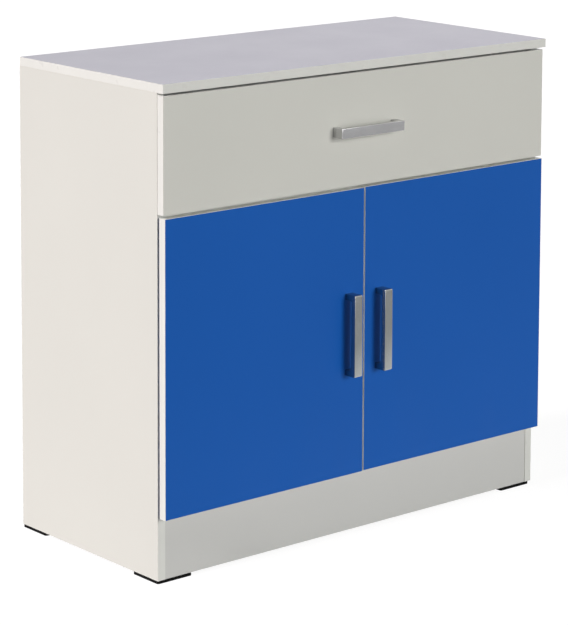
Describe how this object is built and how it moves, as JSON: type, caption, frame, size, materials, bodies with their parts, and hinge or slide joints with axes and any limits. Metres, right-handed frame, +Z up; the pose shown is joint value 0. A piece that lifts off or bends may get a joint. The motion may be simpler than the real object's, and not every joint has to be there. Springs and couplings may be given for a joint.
{
  "type": "bedside cabinet",
  "caption": "Freestanding bedside cabinet with a full-width drawer over a two-door cupboard, strap handles, plinth and corner feet.",
  "frame": {"origin": "on the floor, below the middle of the side panels", "axes": "+Z up, the drawer and doors face -Y, +X to the viewer's right when facing the front"},
  "size_m": [0.857, 0.423, 0.815],
  "materials": {
    "worktop_laminate": "satin light grey melamine with a faint lavender cast",
    "white_melamine": "satin off-white melamine",
    "front_melamine": "satin off-white melamine, slightly greyer than the carcass",
    "blue_laminate": "satin mid-blue melamine",
    "edge_band": "white ABS edge banding",
    "white_hardboard": "thin hardboard, painted white on the face",
    "nickel": "satin nickel",
    "die_cast_zinc": "dull die-cast zinc",
    "zinc_steel": "bright zinc-plated steel",
    "ball_steel": "polished bearing steel",
    "beech": "plain beech",
    "black_foot": "matt black moulded plastic",
    "clear_bumper": "translucent soft bumper"
  },
  "bodies": {
    "root": {"worktop": "worktop_laminate", "side_left": "white_melamine", "side_right": "white_melamine", "bottom_panel": "white_melamine", "divider_panel": "white_melamine", "back_panel": "white_hardboard", "plinth_front": "front_melamine", "plinth_rear": "white_melamine", "carcass_edge_bands": "edge_band", "shelf": "white_melamine", "shelf_pins": "nickel", "cam_locks": "die_cast_zinc", "cam_bolts": "zinc_steel", "dowels": "beech", "corner_feet": "black_foot", "foot_screws": "zinc_steel", "slide_outer_left": "zinc_steel", "slide_outer_right": "zinc_steel", "slide_outer_screws": "zinc_steel", "hinge_plates": "die_cast_zinc", "hinge_plate_screws": "zinc_steel", "hinge_arms": "nickel", "hinge_arm_screws": "zinc_steel"},
    "slide_middles": {"slide_middle_left": "zinc_steel", "slide_middle_right": "zinc_steel"},
    "outer_cages": {"outer_ball_cages": "zinc_steel", "outer_balls": "ball_steel"},
    "inner_cages": {"inner_ball_cages": "zinc_steel", "inner_balls": "ball_steel"},
    "drawer": {"slide_inner_left": "zinc_steel", "slide_inner_right": "zinc_steel", "slide_inner_screws": "zinc_steel", "drawer_front": "front_melamine", "drawer_front_band": "edge_band", "drawer_side_left": "white_melamine", "drawer_side_right": "white_melamine", "drawer_box_front": "white_melamine", "drawer_back": "white_melamine", "drawer_bottom": "white_hardboard", "drawer_box_screws": "zinc_steel", "front_fixing_screws": "zinc_steel", "drawer_handle": "nickel", "drawer_handle_screws": "zinc_steel"},
    "left_door": {"left_door": "blue_laminate", "left_door_band": "edge_band", "left_door_handle": "nickel", "left_handle_screws": "zinc_steel", "left_hinge_cups": "nickel", "left_hinge_pins": "zinc_steel", "left_cup_screws": "zinc_steel", "left_bumpers": "clear_bumper"},
    "right_door": {"right_door": "blue_laminate", "right_door_band": "edge_band", "right_door_handle": "nickel", "right_handle_screws": "zinc_steel", "right_hinge_cups": "nickel", "right_hinge_pins": "zinc_steel", "right_cup_screws": "zinc_steel", "right_bumpers": "clear_bumper"}
  },
  "joints": [
    {"name": "drawer_slide", "type": "slide", "parent": "root", "child": "drawer", "axis": [0, -1, 0], "range_m": [0, 0.3]},
    {"name": "middle_member_slide", "type": "slide", "parent": "root", "child": "slide_middles", "axis": [0, -1, 0], "range_m": [0, 0.15]},
    {"name": "outer_cage_roll", "type": "slide", "parent": "root", "child": "outer_cages", "axis": [0, -1, 0], "range_m": [0, 0.075]},
    {"name": "inner_cage_roll", "type": "slide", "parent": "root", "child": "inner_cages", "axis": [0, -1, 0], "range_m": [0, 0.225]},
    {"name": "left_door_hinge", "type": "hinge", "parent": "root", "child": "left_door", "pos_m": [-0.4164, -0.2022, 0.3545], "axis": [0, 0, -1], "range_deg": [0, 95]},
    {"name": "right_door_hinge", "type": "hinge", "parent": "root", "child": "right_door", "pos_m": [0.4164, -0.2022, 0.3553], "axis": [0, 0, 1], "range_deg": [0, 95]}
  ],
  "couplings": [
    {"joint": "middle_member_slide", "follows": "drawer_slide", "ratio": 0.5},
    {"joint": "outer_cage_roll", "follows": "drawer_slide", "ratio": 0.25},
    {"joint": "inner_cage_roll", "follows": "drawer_slide", "ratio": 0.75}
  ]
}
